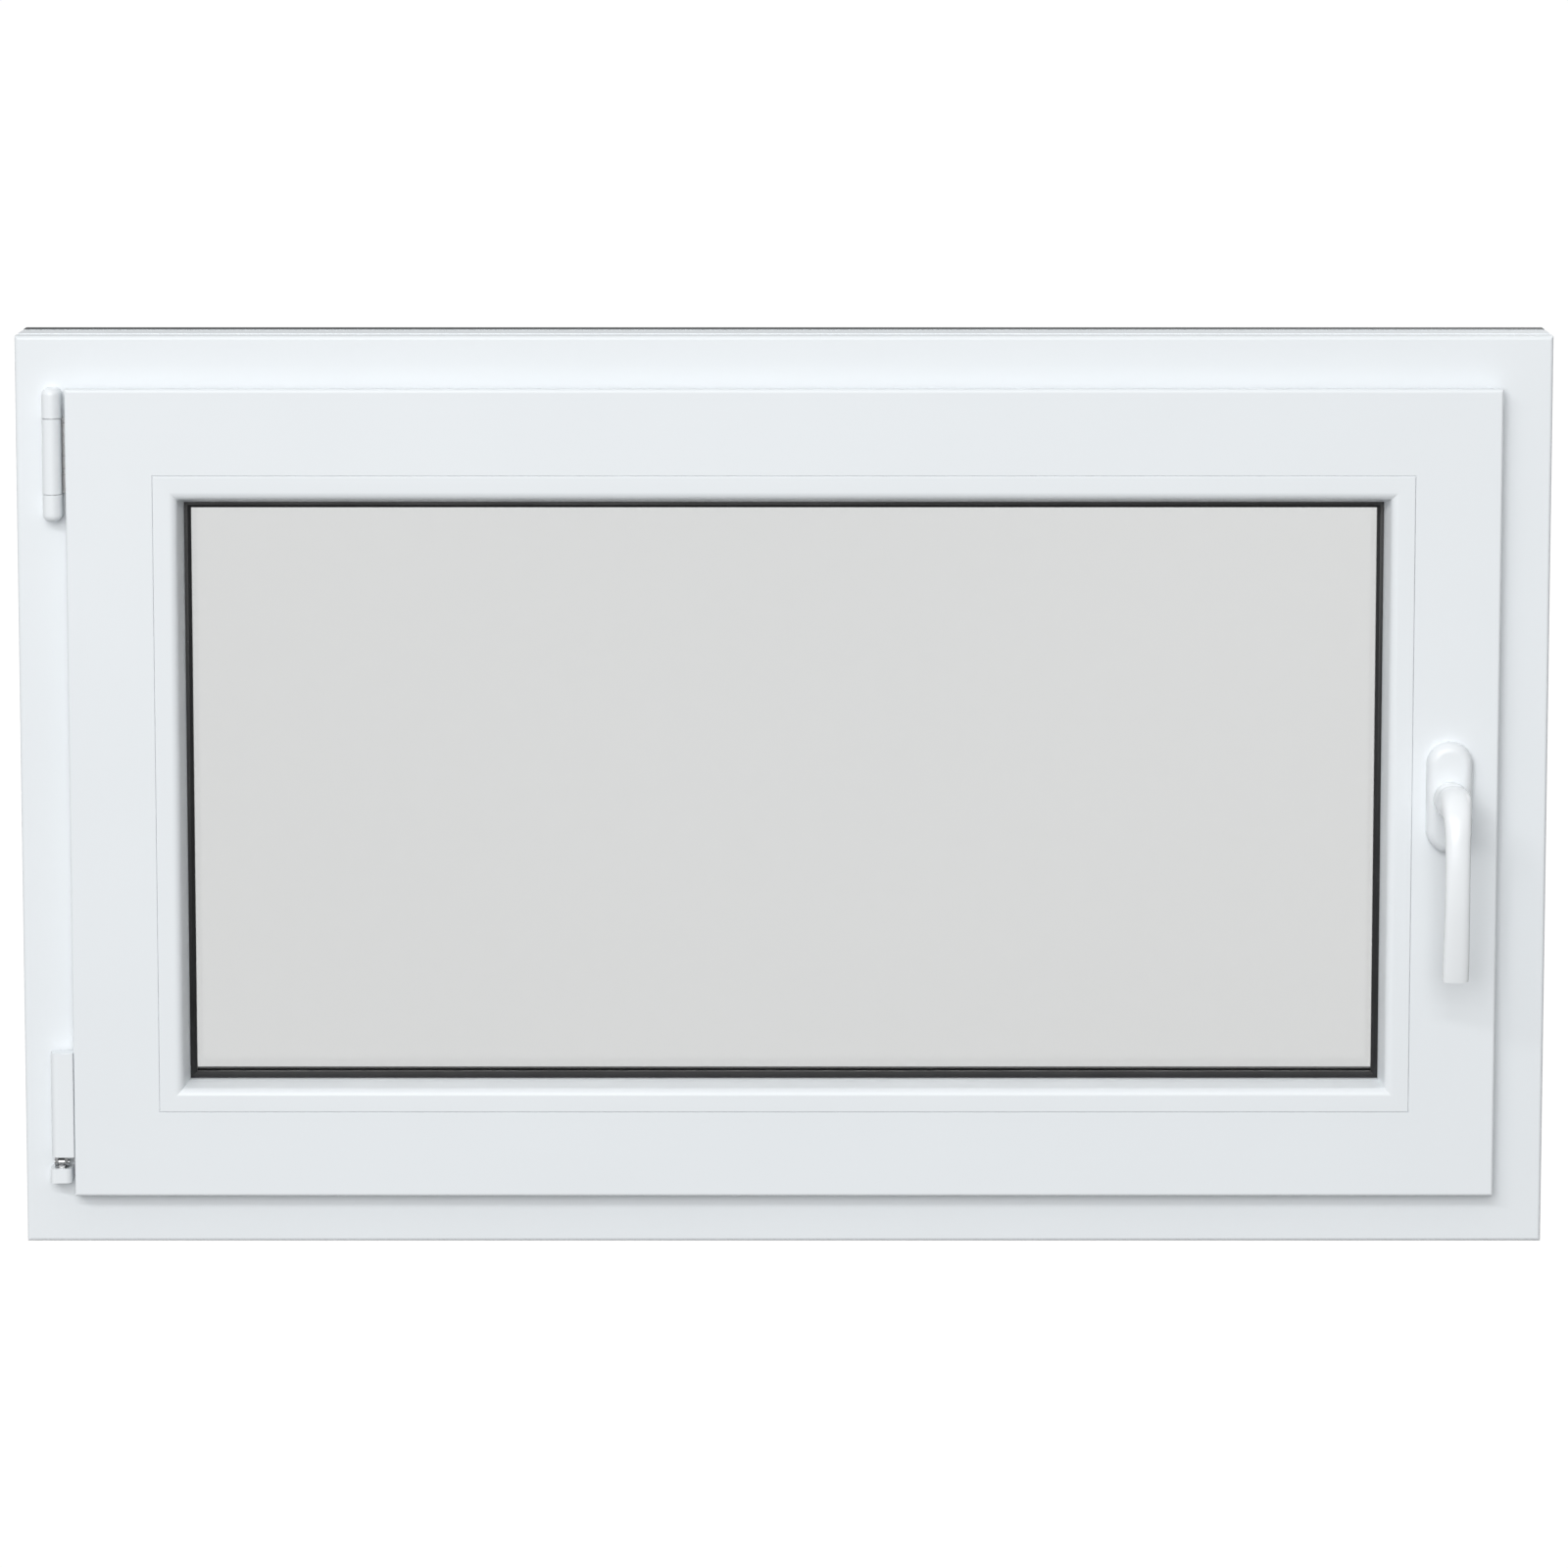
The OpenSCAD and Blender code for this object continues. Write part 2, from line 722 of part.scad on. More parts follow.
// Stadium-shaped solid with a domed edge, its face towards the room
module rosette_form(r, height, half_pitch, edge_r) {
    points = outline([[0, 0, 0], [r, 0, 0], [r, height, edge_r], [0, height, 0]]);
    translate([spindle_x, sash_face_y, handle_z]) rotate([90, 0, 0]) {
        for (y = [-half_pitch, half_pitch]) translate([0, y, 0]) rotate_extrude() polygon(points);
        rotate([90, 0, 0]) linear_extrude(height = 2 * half_pitch, center = true) union() {
            polygon(points);
            mirror([1, 0]) polygon(points);
        }
    }
}

module rosette_base() {
    color(ZINC) difference() {
        rosette_form(rosette_r - 2.2, 5, 21, 0.5);
        rod_y(spindle_x, handle_z, 7, sash_face_y - 20, sash_face_y + 1);
        for (z = [-screw_pitch / 2, screw_pitch / 2])
            rod_y(spindle_x, handle_z + z, 2.55, sash_face_y - 20, sash_face_y + 1);
    }
}

module rosette_cover() {
    color(PVC) difference() {
        rosette_form(rosette_r, rosette_h, 21.5, 6);
        translate([0, 1, 0]) rosette_form(rosette_r - 2, rosette_h - 2, 21.5, 4);
        rod_y(spindle_x, handle_z, 11, sash_face_y - 20, sash_face_y);
    }
}

module handle_screws() {
    color(STEEL) for (z = [-screw_pitch / 2, screw_pitch / 2]) {
        rod_y(spindle_x, handle_z + z, 2.5, sash_face_y - 5, groove_y + 6);
        rod_y(spindle_x, handle_z + z, 4.4, sash_face_y - 7.6, sash_face_y - 5);
    }
}

// The grip's centre line in the plane of Y and Z, as [y, z, width, thickness]
GRIP_PATH = [
    [-rosette_h - 1.2, 0, 21.5, 21.5], [-rosette_h - 8, 0, 21.5, 21.5],
    [-grip_reach + 34, 0, 21.5, 21.5], [-grip_reach + 20, 2.2, 21, 20],
    [-grip_reach + 10, -1, 19.5, 15.5], [-grip_reach + 3, -10, 17.5, 11.5],
    [-grip_reach, -24, 16.4, 9.5], [-grip_reach - 1.5, -42, 16, 9],
    [-grip_reach - 1, -64, 16.3, 9], [-grip_reach + 2, -88, 16.9, 9],
    [-grip_reach + 6, 2 - grip_drop, 17.2, 9], [-grip_reach + 6.4, -grip_drop, 15.8, 7.6]
];

// Smooth value of column c between path points, t counting along the path
function spline(t, c) =
    let (
        i = min(floor(t), len(GRIP_PATH) - 2), f = t - i,
        p0 = GRIP_PATH[max(i - 1, 0)][c], p1 = GRIP_PATH[i][c],
        p2 = GRIP_PATH[i + 1][c], p3 = GRIP_PATH[min(i + 2, len(GRIP_PATH) - 1)][c]
    )
    p1 + 0.5 * f * (p2 - p0 + f * (2 * p0 - 5 * p1 + 4 * p2 - p3 + f * (3 * (p1 - p2) + p3 - p0)));

function grip_point(t) = [spline(t, 0), spline(t, 1)];

// One ring of the grip: a rounded oval square to the centre line
function grip_ring(t, sides) =
    let (
        last = len(GRIP_PATH) - 1,
        along = unit(grip_point(min(t + 0.05, last)) - grip_point(max(t - 0.05, 0))),
        across = [-along[1], along[0]],
        half_w = spline(t, 2) / 2,
        half_t = spline(t, 3) / 2,
        power = 0.8
    )
    [for (i = [0:sides - 1])
        let (
            a = 360 * i / sides,
            w = half_w * sign(cos(a)) * pow(abs(cos(a)), power),
            s = half_t * sign(sin(a)) * pow(abs(sin(a)), power),
            p = grip_point(t) + across * s
        )
        [spindle_x + w, sash_face_y + p[0], handle_z + p[1]]];

module handle_grip() {
    steps = 44;
    color(PVC) loft([for (k = [0:steps]) grip_ring(k * (len(GRIP_PATH) - 1) / steps, 28)]);
}

module handle_glide_ring() {
    color(PVC) difference() {
        rod_y(spindle_x, handle_z, 10.9, sash_face_y - rosette_h - 1.2, sash_face_y - 5.4);
        spindle_form(3.52, 60);
    }
}

module spindle_form(half, length) {
    translate([spindle_x, groove_y + 7, handle_z])
        block([-half, -length, -half], [half, 0, half]);
}

module handle_spindle() {
    color(STEEL) spindle_form(3.5, groove_y + 7 - sash_face_y + rosette_h + 1.2);
}

module drive_pinion() {
    color(STEEL) difference() {
        union() {
            translate([spindle_x, groove_y, handle_z]) rotate([90, 0, 0])
                linear_extrude(height = 8, center = true) gear_outline();
            rod_y(spindle_x, handle_z, 5, groove_y - 6.9, groove_y + 6.9);
        }
        translate([0, 10, 0]) spindle_form(3.52, 60);
    }
}

// Pinion with straight-sided teeth, one gap pointing at the rack
module gear_outline() {
    root = pinion_r - 1.25 * tooth_m;
    tip = pinion_r + 0.9 * tooth_m;
    pitch = 360 / pinion_teeth;
    union() {
        circle(r = root + 0.05);
        for (k = [0:pinion_teeth - 1]) rotate((k + 0.5) * pitch) polygon([
            [root - 0.5, -0.95 * tooth_m], [root, -0.95 * tooth_m], [tip, -0.32 * tooth_m],
            [tip, 0.32 * tooth_m], [root, 0.95 * tooth_m], [root - 0.5, 0.95 * tooth_m]
        ]);
    }
}

// ---- Drive rods and cams ----

// Flat rod in the hardware groove of one side, between two distances along it
module drive_rod(side, from, to) {
    on_side(side) block([from, groove_y - rod_w / 2, sash_inset + rod_out_u],
        [to, groove_y + rod_w / 2, sash_inset + rod_in_u]);
}

// Mushroom cam on a rod
module cam(side, along) {
    on_side(side) translate([along, groove_y, sash_inset]) {
        translate([0, 0, cam_tip_u]) cylinder(r = 5, h = 1.6);
        translate([0, 0, cam_tip_u + 1]) cylinder(r = 3.6, h = rod_out_u - cam_tip_u - 1);
    }
}

module drive_rod_side() {
    rack_x = spindle_x + pinion_r;
    color(STEEL) difference() {
        union() {
            drive_rod(1, -198, 225);
            for (k = [0:12]) translate([rack_x, groove_y, handle_z + (k - 1) * PI * tooth_m])
                rotate([90, 0, 0]) linear_extrude(height = 7.6, center = true) polygon([
                    [1.4 * tooth_m, -0.95 * tooth_m], [-0.9 * tooth_m, -0.3 * tooth_m],
                    [-0.9 * tooth_m, 0.3 * tooth_m], [1.4 * tooth_m, 0.95 * tooth_m]
                ]);
        }
        for (z = [-80, 80]) block(
            [sash_edge_x - 30, groove_y - 2.5, handle_z + z - 4],
            [sash_edge_x, groove_y + 2.5, handle_z + z + 4 + travel]);
    }
}

module side_cams() {
    color(STEEL) for (z = [-130, 130]) cam(1, z);
}

module drive_rod_top() {
    color(STEEL) drive_rod(2, -400, 180);
}

module top_cams() {
    color(STEEL) for (x = [60, -240]) cam(2, x);
}

module drive_rod_bottom() {
    color(STEEL) drive_rod(0, -370, 425);
}

module bottom_cams() {
    color(STEEL) for (x = [-200, 330]) cam(0, x);
}

// ---- Stay arm ----

module stay_arm() {
    color(STEEL) translate([hinge_x, hinge_y, 0]) difference() {
        union() {
            translate([0, 0, leaf_z0 - 0.4]) cylinder(r = 4.2, h = leaf_z1 - leaf_z0 + 0.8);
            block([0, 0, leaf_z0], [4.2, 8.2, leaf_z1]);
            block([0, 5.8, leaf_z0], [24, 8.2, leaf_z1]);
            block([14, 5.8, leaf_z0], [24, 8.2, stay_z1]);
            block([18, 5.8, stay_z0], [24, 24, stay_z1]);
            block([18, 12, stay_z0], [stay_reach, 24, stay_z1]);
            translate([stay_reach, stay_offset, stay_z0]) cylinder(r = 6, h = stay_z1 - stay_z0);
            translate([stay_reach, stay_offset, 546]) cylinder(r = 2.4, h = stay_z0 - 545);
        }
        translate([0, 0, leaf_z0 - 2]) cylinder(r = 2.5, h = 60);
    }
}

module stay_knuckle_cover() {
    color(PVC) translate([hinge_x, hinge_y, leaf_z0]) difference() {
        cylinder(r = 6.3, h = leaf_z1 - leaf_z0);
        translate([0, 0, -1]) cylinder(r = 4.5, h = 60);
        block([-0.3, 0, -1], [8, 8, 60]);
    }
}

frame_sill();
frame_jamb_right();
frame_head();
frame_jamb_left();
frame_reinforcement();
frame_foil();
frame_seal();
drain_caps();
strikers();
tilt_striker();
striker_screws();
upper_hinge_bracket();
upper_hinge_pin();
upper_hinge_caps();
pivot_rest();
pivot_rest_cover();
hinge_screws();
pivot_swivel();
sash_rail_bottom();
sash_stile_right();
sash_rail_top();
sash_stile_left();
sash_reinforcement();
sash_foil();
sash_seal();
bead_bottom();
bead_right();
bead_top();
bead_left();
bead_gasket();
outer_gasket();
glass_room_side();
glass_outdoor_side();
glass_spacer();
glass_edge_seal();
setting_blocks();
corner_band();
corner_band_cover();
tilt_axle();
stay_rail();
corner_drive_top();
corner_drive_bottom();
gearbox_housing();
gearbox_faceplate();
sash_hardware_screws();
rosette_base();
rosette_cover();
handle_screws();
handle_grip();
handle_glide_ring();
handle_spindle();
drive_pinion();
drive_rod_side();
side_cams();
drive_rod_top();
top_cams();
drive_rod_bottom();
bottom_cams();
stay_arm();
stay_knuckle_cover();
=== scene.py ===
"""Looks of the tilt-and-turn window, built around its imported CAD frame.

X runs along the sill, +Y points outdoors and +Z up, all in metres.
"""

import json
import math

import bpy
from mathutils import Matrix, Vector


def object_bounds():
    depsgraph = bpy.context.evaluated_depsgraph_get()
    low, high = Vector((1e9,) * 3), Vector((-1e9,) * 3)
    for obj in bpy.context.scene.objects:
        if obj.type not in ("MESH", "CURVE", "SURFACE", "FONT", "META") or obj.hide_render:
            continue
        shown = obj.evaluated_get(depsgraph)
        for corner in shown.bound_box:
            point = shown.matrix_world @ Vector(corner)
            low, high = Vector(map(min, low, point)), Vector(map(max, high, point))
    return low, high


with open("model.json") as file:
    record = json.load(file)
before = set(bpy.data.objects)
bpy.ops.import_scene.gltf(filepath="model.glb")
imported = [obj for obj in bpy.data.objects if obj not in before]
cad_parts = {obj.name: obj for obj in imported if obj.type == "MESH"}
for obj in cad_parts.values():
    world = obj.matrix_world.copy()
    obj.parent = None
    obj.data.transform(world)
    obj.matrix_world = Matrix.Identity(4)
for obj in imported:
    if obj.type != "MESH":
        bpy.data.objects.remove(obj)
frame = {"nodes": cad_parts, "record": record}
CAD_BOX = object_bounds()
SLOT_OF = {part["node"]: part["material_slot"] for part in frame["record"]["subparts"]}

# Outer half sizes, which also split the rings into upright and level members
HALF_WIDTH = CAD_BOX[1][0]
HALF_HEIGHT = CAD_BOX[1][2] / 2

# Camera: metres, degrees and a lens in millimetres, with the elevation seen from the aim point
CAMERA_DISTANCE = 4.2
CAMERA_ELEVATION = 9.0
CAMERA_TILT = 7.24
CAMERA_LENS = 147.1
CAMERA_SHIFT = -0.12
AIM_Y = -0.035
AIM_Z = HALF_HEIGHT

# Light. "from" points from the window to the lamp; sizes in metres, power in watts
LIGHTS = {
    "key": {"from": (-0.32, -1.0, 0.66), "size": (8.0, 0.7), "power": 290.0},
    "fill": {"from": (-0.12, -1.0, 0.26), "size": (6.0, 4.0), "power": 420.0},
    "back": {"from": (0.60, 1.0, 0.55), "size": (6.0, 4.0), "power": 420.0},
}
LIGHT_DISTANCE = 10.0

# Strength of the sky as light: its base, what the left and the top add, and its least value
SKY = {"base": 0.32, "left": 0.14, "up": 0.32, "least": 0.22}
SKY_TINT = (0.985, 0.995, 1.0, 1)

# Strength of the sky and the floor as the camera sees them
SEEN_SKY = 1.02
SEEN_FLOOR = 0.98

FLOOR_HALF = 14.0
FLOOR_GAP = 0.0006

# Where most of a noise's values lie
NOISE_LOW = 0.3
NOISE_HIGH = 0.7

# Angle over which an edge stays sharp when the CAD meshes are smoothed, and how near points are welded
SHARP_ANGLE = 28.0
WELD_DISTANCE = 1e-6


# ---- Node helpers ----


class Nodes:
    """Short calls for building one material."""

    def __init__(self, name):
        self.material = bpy.data.materials.new(name)
        self.material.use_nodes = True
        self.tree = self.material.node_tree
        self.tree.nodes.clear()
        self.shader = self.tree.nodes.new("ShaderNodeBsdfPrincipled")
        output = self.tree.nodes.new("ShaderNodeOutputMaterial")
        self.link(self.shader.outputs["BSDF"], output.inputs["Surface"])
        self.place = self.tree.nodes.new("ShaderNodeTexCoord").outputs["Object"]

    def link(self, start, end):
        self.tree.links.new(start, end)

    def set(self, **values):
        """Fixed shader values; underscores stand for spaces in socket names."""
        for key, value in values.items():
            self.shader.inputs[key.replace("_", " ")].default_value = value

    def math(self, operation, a, b=None):
        node = self.tree.nodes.new("ShaderNodeMath")
        node.operation = operation
        for socket, value in zip(node.inputs, (a, b)):
            if value is None:
                continue
            if isinstance(value, (int, float)):
                socket.default_value = value
            else:
                self.link(value, socket)
        return node.outputs[0]

    def scaled(self, vector, scale):
        node = self.tree.nodes.new("ShaderNodeVectorMath")
        node.operation = "MULTIPLY"
        self.link(vector, node.inputs[0])
        node.inputs[1].default_value = scale
        return node.outputs[0]

    def noise(self, scale, detail=3.0, vector=None, distortion=0.0):
        node = self.tree.nodes.new("ShaderNodeTexNoise")
        node.inputs["Scale"].default_value = scale
        node.inputs["Detail"].default_value = detail
        node.inputs["Distortion"].default_value = distortion
        self.link(vector or self.place, node.inputs["Vector"])
        return node.outputs["Fac"]

    def ramp(self, value, low, high, start=NOISE_LOW, end=NOISE_HIGH):
        """Colours from low to high as value goes from start to end."""
        node = self.tree.nodes.new("ShaderNodeValToRGB")
        stops = ((start, low), (end, high))
        for element, (place, colour) in zip(node.color_ramp.elements, stops):
            element.position = place
            element.color = (*colour, 1)
        self.link(value, node.inputs["Fac"])
        return node.outputs["Color"]

    def spread(self, value, low, high):
        """A number from low to high as a noise goes through its usual values."""
        node = self.tree.nodes.new("ShaderNodeMapRange")
        node.inputs["From Min"].default_value = NOISE_LOW
        node.inputs["From Max"].default_value = NOISE_HIGH
        node.inputs["To Min"].default_value = low
        node.inputs["To Max"].default_value = high
        self.link(value, node.inputs["Value"])
        return node.outputs[0]

    def bump(self, height, strength, distance, below=None):
        node = self.tree.nodes.new("ShaderNodeBump")
        node.inputs["Strength"].default_value = strength
        node.inputs["Distance"].default_value = distance
        self.link(height, node.inputs["Height"])
        if below:
            self.link(below, node.inputs["Normal"])
        return node.outputs["Normal"]

    def along_member(self, stretch):
        """Coordinates drawn out along each member: rails along X, stiles along Z."""
        split = self.tree.nodes.new("ShaderNodeSeparateXYZ")
        self.link(self.place, split.inputs[0])
        from_side = self.math("SUBTRACT", self.math("ABSOLUTE", split.outputs["X"]), HALF_WIDTH)
        height = self.math("SUBTRACT", split.outputs["Z"], HALF_HEIGHT)
        from_end = self.math("SUBTRACT", self.math("ABSOLUTE", height), HALF_HEIGHT)
        upright = self.math("GREATER_THAN", from_side, from_end)
        choice = self.tree.nodes.new("ShaderNodeMix")
        choice.data_type = "VECTOR"
        self.link(upright, choice.inputs["Factor"])
        self.link(self.scaled(self.place, (stretch, 1, 1)), choice.inputs["A"])
        self.link(self.scaled(self.place, (1, 1, stretch)), choice.inputs["B"])
        return choice.outputs["Result"]


def speckled(nodes, colour, change, scale):
    """The base colour, drifting by a small share over soft patches."""
    low = tuple(c * (1 - change) for c in colour)
    high = tuple(min(1.0, c * (1 + change)) for c in colour)
    patches = nodes.noise(scale, 4.0)
    nodes.link(nodes.ramp(patches, low, high), nodes.shader.inputs["Base Color"])


# ---- Materials, one for each slot of the record ----


def white_pvc():
    """Extruded white PVC: satin, with faint die lines along each member."""
    nodes = Nodes("white_pvc")
    speckled(nodes, (0.835, 0.868, 0.893), 0.006, 9.0)
    lines = nodes.noise(900.0, 2.0, nodes.along_member(0.012))
    grain = nodes.noise(2600.0, 2.0)
    nodes.link(nodes.spread(lines, 0.30, 0.38), nodes.shader.inputs["Roughness"])
    below = nodes.bump(grain, 0.05, 0.0001)
    nodes.link(nodes.bump(lines, 0.045, 0.0002, below), nodes.shader.inputs["Normal"])
    nodes.set(IOR=1.47, Specular_IOR_Level=0.45)
    return nodes.material


def white_cover():
    """Injection-moulded white covers: a little glossier, with a fine spark-eroded texture."""
    nodes = Nodes("white_cover")
    speckled(nodes, (0.850, 0.882, 0.906), 0.003, 14.0)
    texture = nodes.noise(3200.0, 2.0)
    nodes.link(nodes.spread(nodes.noise(700.0), 0.28, 0.33), nodes.shader.inputs["Roughness"])
    nodes.link(nodes.bump(texture, 0.06, 0.0001), nodes.shader.inputs["Normal"])
    nodes.set(IOR=1.5)
    return nodes.material


def white_lacquer():
    """Powder coat on the cast grip: glossy, with a soft orange peel."""
    nodes = Nodes("white_lacquer")
    speckled(nodes, (0.895, 0.922, 0.942), 0.003, 12.0)
    peel = nodes.noise(420.0, 2.0)
    nodes.link(nodes.spread(nodes.noise(500.0), 0.22, 0.26), nodes.shader.inputs["Roughness"])
    nodes.link(nodes.bump(peel, 0.07, 0.0004), nodes.shader.inputs["Normal"])
    nodes.set(IOR=1.5, Coat_Weight=0.35, Coat_Roughness=0.12)
    return nodes.material


def anthracite_foil():
    """Laminated outdoor foil: matt anthracite with an embossed grain along each member."""
    nodes = Nodes("anthracite_foil")
    along = nodes.along_member(0.035)
    grain = nodes.noise(520.0, 6.0, along, 0.6)
    colour = nodes.ramp(grain, (0.036, 0.040, 0.044), (0.060, 0.065, 0.071), 0.35, 0.65)
    nodes.link(colour, nodes.shader.inputs["Base Color"])
    nodes.link(nodes.spread(grain, 0.60, 0.46), nodes.shader.inputs["Roughness"])
    fine = nodes.bump(nodes.noise(2200.0, 2.0), 0.10, 0.0001)
    nodes.link(nodes.bump(grain, 0.35, 0.0004, fine), nodes.shader.inputs["Normal"])
    return nodes.material


def black_seal():
    """EPDM rubber: matt black, with the faint bloom and drag lines of an extrusion."""
    nodes = Nodes("black_seal")
    speckled(nodes, (0.0150, 0.0155, 0.0162), 0.18, 45.0)
    lines = nodes.noise(1100.0, 2.0, nodes.along_member(0.02))
    nodes.link(nodes.spread(lines, 0.36, 0.48), nodes.shader.inputs["Roughness"])
    nodes.link(nodes.bump(lines, 0.12, 0.0002), nodes.shader.inputs["Normal"])
    nodes.set(Specular_IOR_Level=0.5)
    return nodes.material


def clear_glass():
    """Float glass with a light neutral tint."""
    nodes = Nodes("clear_glass")
    haze = nodes.ramp(nodes.noise(1.3, 1.0), (0.816, 0.820, 0.819), (0.832, 0.836, 0.835))
    nodes.link(haze, nodes.shader.inputs["Base Color"])
    nodes.set(Transmission_Weight=1.0, Roughness=0.0, IOR=1.45)
    return nodes.material


def dark_spacer():
    """Warm-edge spacer of the sealed unit: matt black polymer with rows of fine pores."""
    nodes = Nodes("dark_spacer")
    speckled(nodes, (0.022, 0.023, 0.025), 0.15, 60.0)
    pores = nodes.tree.nodes.new("ShaderNodeTexVoronoi")
    pores.inputs["Scale"].default_value = 520.0
    nodes.link(nodes.place, pores.inputs["Vector"])
    nodes.link(nodes.bump(pores.outputs["Distance"], 0.15, 0.0002), nodes.shader.inputs["Normal"])
    nodes.set(Roughness=0.62)
    return nodes.material


def blue_packer():
    """Moulded setting blocks."""
    nodes = Nodes("blue_packer")
    speckled(nodes, (0.035, 0.11, 0.36), 0.10, 70.0)
    nodes.link(nodes.bump(nodes.noise(900.0), 0.15, 0.0002), nodes.shader.inputs["Normal"])
    nodes.set(Roughness=0.45)
    return nodes.material


def metal(name, colour, change, patches, roughness, scratches, depth):
    """Plated metal with patches of different lustre and fine scratches along X."""
    nodes = Nodes(name)
    speckled(nodes, colour, change, patches)
    lines = nodes.noise(scratches, 4.0, nodes.scaled(nodes.place, (0.06, 1, 1)))
    cloud = nodes.noise(patches * 1.7, 4.0)
    mixed = nodes.math("MULTIPLY", nodes.math("ADD", lines, cloud), 0.5)
    nodes.link(nodes.spread(mixed, *roughness), nodes.shader.inputs["Roughness"])
    nodes.link(nodes.bump(lines, 0.12, depth), nodes.shader.inputs["Normal"])
    nodes.set(Metallic=1.0)
    return nodes.material


def zinc():
    """Die-cast zinc with a dull passivated skin."""
    return metal(
        "zinc",
        colour=(0.50, 0.51, 0.52),
        change=0.10,
        patches=140.0,
        roughness=(0.34, 0.52),
        scratches=700.0,
        depth=0.0003,
    )


def galvanised_steel():
    """Galvanised sheet with its mottled spangle."""
    return metal(
        "galvanised_steel",
        colour=(0.53, 0.55, 0.57),
        change=0.16,
        patches=55.0,
        roughness=(0.28, 0.50),
        scratches=500.0,
        depth=0.0002,
    )


def bright_steel():
    """Bright zinc-plated steel."""
    return metal(
        "bright_steel",
        colour=(0.50, 0.505, 0.51),
        change=0.06,
        patches=110.0,
        roughness=(0.22, 0.38),
        scratches=900.0,
        depth=0.0002,
    )


BUILDERS = (
    white_pvc,
    white_cover,
    white_lacquer,
    anthracite_foil,
    black_seal,
    clear_glass,
    dark_spacer,
    blue_packer,
    zinc,
    galvanised_steel,
    bright_steel,
)
MATERIALS = {builder.__name__: builder() for builder in BUILDERS}


# ---- CAD nodes ----


def smooth(obj):
    """Smooth shading on the rounded edges, with the flat faces kept flat."""
    obj.data.polygons.foreach_set("use_smooth", [True] * len(obj.data.polygons))
    weld = obj.modifiers.new("Weld", "WELD")
    weld.merge_threshold = WELD_DISTANCE
    split = obj.modifiers.new("Sharp", "EDGE_SPLIT")
    split.split_angle = math.radians(SHARP_ANGLE)
    normals = obj.modifiers.new("Normals", "WEIGHTED_NORMAL")
    normals.weight = 100


def finish_node(name, obj):
    """The material of the node's slot, and smooth shading."""
    obj.data.materials.clear()
    obj.data.materials.append(MATERIALS[SLOT_OF[name]])
    obj.data.polygons.foreach_set("material_index", [0] * len(obj.data.polygons))
    smooth(obj)


for node_name, node_object in frame["nodes"].items():
    finish_node(node_name, node_object)


# ---- Floor, light and camera ----


def make_floor():
    """A pale floor that the camera sees as white and that throws no light on the window."""
    mesh = bpy.data.meshes.new("floor")
    signs = ((-1, -1), (1, -1), (1, 1), (-1, 1))
    mesh.from_pydata([(x * FLOOR_HALF, y * FLOOR_HALF, 0) for x, y in signs], [], [(0, 1, 2, 3)])
    floor = bpy.data.objects.new("floor", mesh)
    floor.location.z = -FLOOR_GAP
    bpy.context.scene.collection.objects.link(floor)
    nodes = Nodes("floor")
    speckled(nodes, (0.06, 0.06, 0.06), 0.01, 2.0)
    nodes.set(Roughness=1.0, Specular_IOR_Level=0.0, Emission_Color=(1, 1, 1, 1))
    nodes.set(Emission_Strength=SEEN_FLOOR)
    mesh.materials.append(nodes.material)
    floor.visible_diffuse = False
    floor.visible_glossy = False


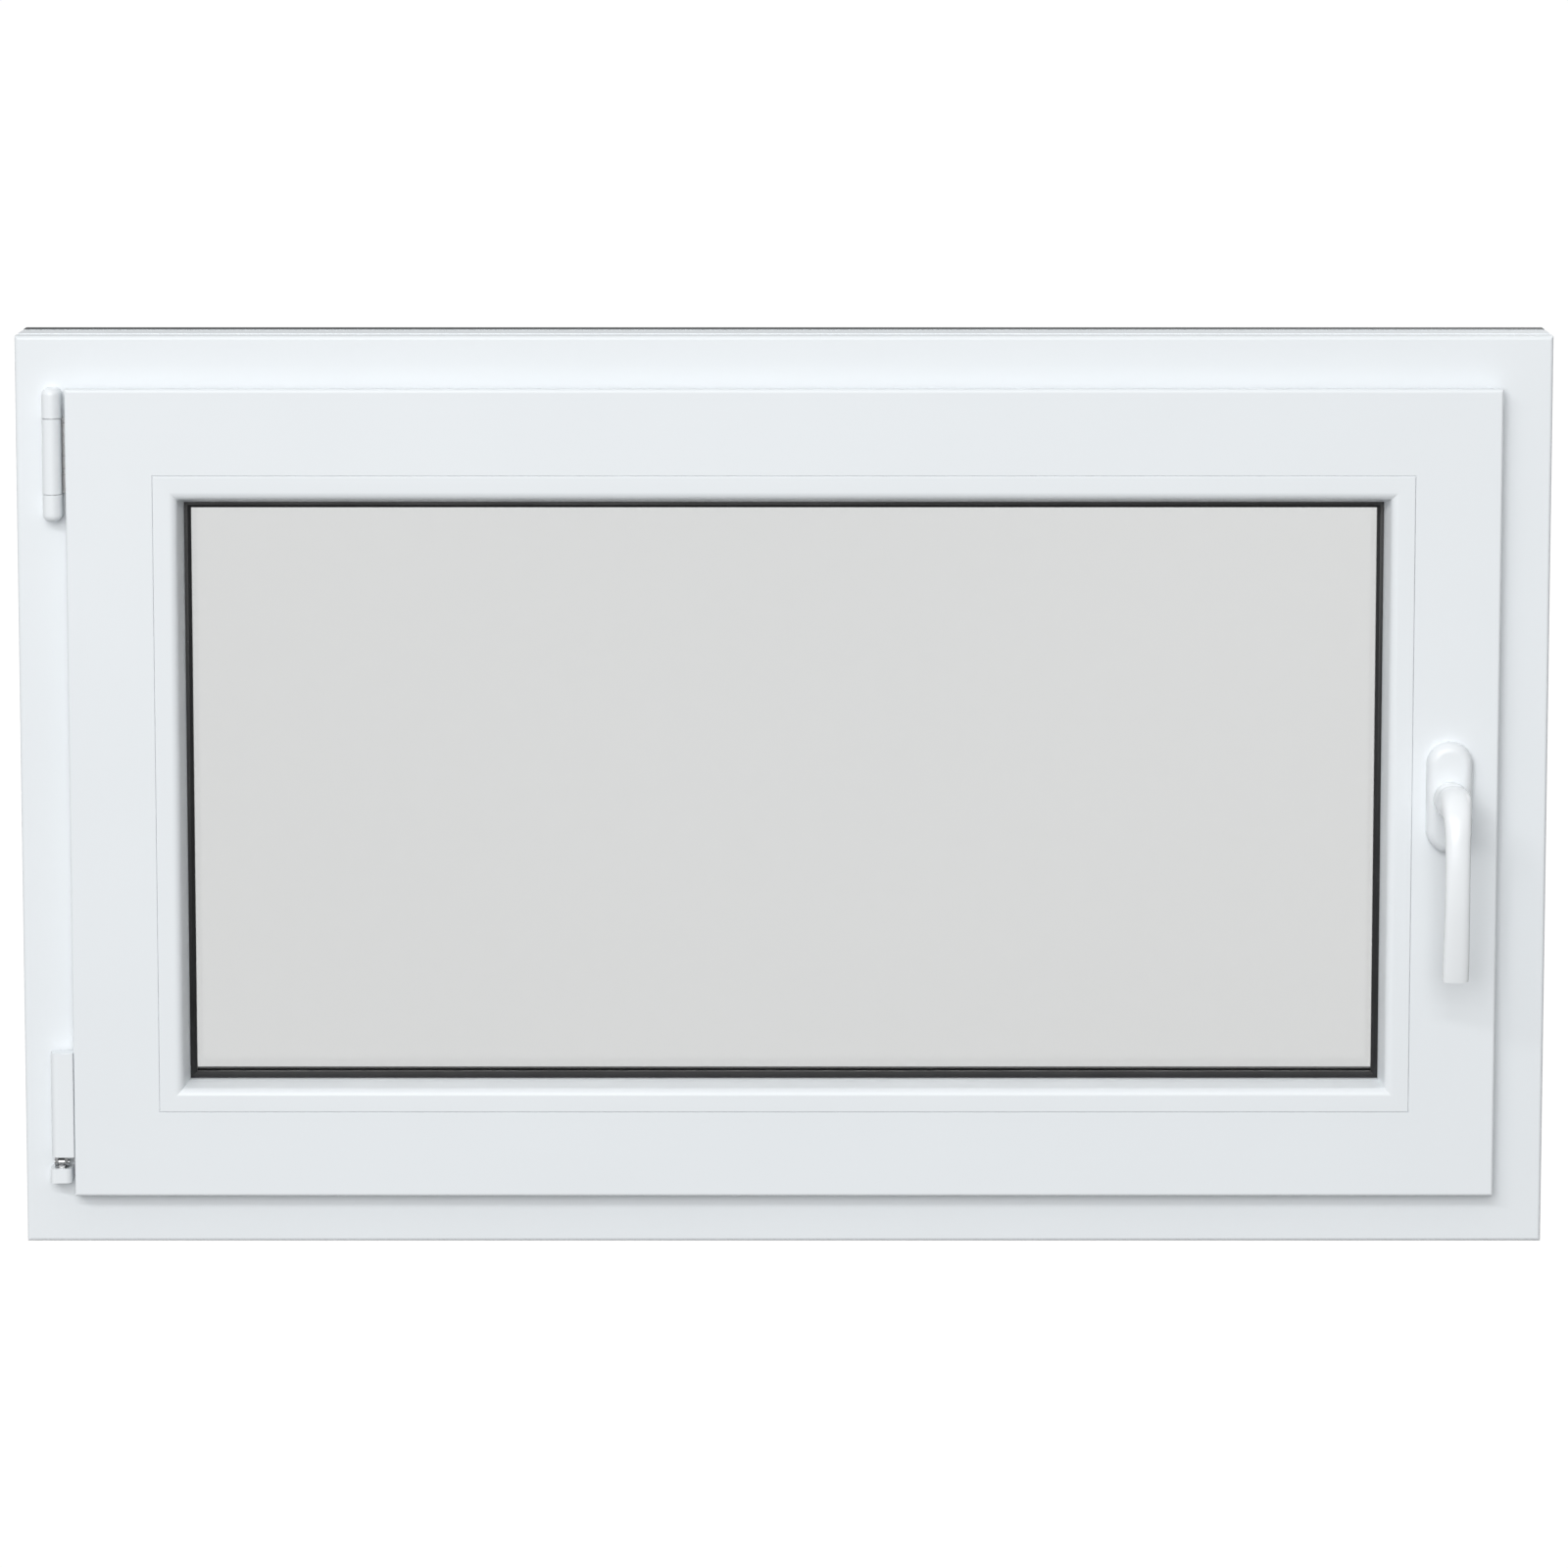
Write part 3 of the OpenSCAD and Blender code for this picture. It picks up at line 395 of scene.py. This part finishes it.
def make_world():
    """White where it is seen, and as light a soft sky that is brighter above and on the left."""
    world = bpy.data.worlds.new("studio")
    bpy.context.scene.world = world
    world.use_nodes = True
    tree = world.node_tree
    tree.nodes.clear()

    def add(kind, **settings):
        node = tree.nodes.new(kind)
        for key, value in settings.items():
            setattr(node, key, value)
        return node

    direction = add("ShaderNodeSeparateXYZ")
    tree.links.new(add("ShaderNodeTexCoord").outputs["Generated"], direction.inputs[0])
    sideways = add("ShaderNodeMath", operation="MULTIPLY_ADD")
    tree.links.new(direction.outputs["X"], sideways.inputs[0])
    sideways.inputs[1].default_value = -SKY["left"]
    sideways.inputs[2].default_value = SKY["base"]
    upwards = add("ShaderNodeMath", operation="MULTIPLY_ADD")
    tree.links.new(direction.outputs["Z"], upwards.inputs[0])
    upwards.inputs[1].default_value = SKY["up"]
    tree.links.new(sideways.outputs[0], upwards.inputs[2])
    strength = add("ShaderNodeMath", operation="MAXIMUM")
    tree.links.new(upwards.outputs[0], strength.inputs[0])
    strength.inputs[1].default_value = SKY["least"]
    soft = add("ShaderNodeBackground")
    soft.inputs["Color"].default_value = SKY_TINT
    tree.links.new(strength.outputs[0], soft.inputs["Strength"])
    white = add("ShaderNodeBackground")
    white.inputs["Color"].default_value = (1, 1, 1, 1)
    white.inputs["Strength"].default_value = SEEN_SKY
    path = add("ShaderNodeLightPath")
    seen = add("ShaderNodeMath", operation="MAXIMUM")
    tree.links.new(path.outputs["Is Camera Ray"], seen.inputs[0])
    tree.links.new(path.outputs["Is Transmission Ray"], seen.inputs[1])
    mix = add("ShaderNodeMixShader")
    tree.links.new(seen.outputs[0], mix.inputs["Fac"])
    tree.links.new(soft.outputs[0], mix.inputs[1])
    tree.links.new(white.outputs[0], mix.inputs[2])
    tree.links.new(mix.outputs[0], add("ShaderNodeOutputWorld").inputs["Surface"])


def make_light(name, settings):
    """A large soft lamp that the camera doesn't see."""
    light = bpy.data.lights.new(name, "AREA")
    light.shape = "RECTANGLE"
    light.size, light.size_y = settings["size"]
    light.energy = settings["power"]
    lamp = bpy.data.objects.new(name, light)
    towards = Vector(settings["from"]).normalized()
    lamp.location = Vector((0.0, 0.0, AIM_Z)) + towards * LIGHT_DISTANCE
    lamp.rotation_euler = (-towards).to_track_quat("-Z", "Y").to_euler()
    lamp.visible_camera = False
    bpy.context.scene.collection.objects.link(lamp)


def make_camera():
    """In front of the window and above it, tilted a little less than its elevation."""
    data = bpy.data.cameras.new("camera")
    data.lens = CAMERA_LENS
    data.shift_y = CAMERA_SHIFT
    camera = bpy.data.objects.new("camera", data)
    raised = math.radians(CAMERA_ELEVATION)
    camera.location = (
        0.0,
        AIM_Y - CAMERA_DISTANCE * math.cos(raised),
        AIM_Z + CAMERA_DISTANCE * math.sin(raised),
    )
    camera.rotation_euler = (math.radians(90.0 - CAMERA_TILT), 0.0, 0.0)
    bpy.context.scene.collection.objects.link(camera)
    bpy.context.scene.camera = camera


make_floor()
make_world()
for light_name, light_settings in LIGHTS.items():
    make_light(light_name, light_settings)
make_camera()
bpy.context.scene.view_settings.view_transform = "Standard"
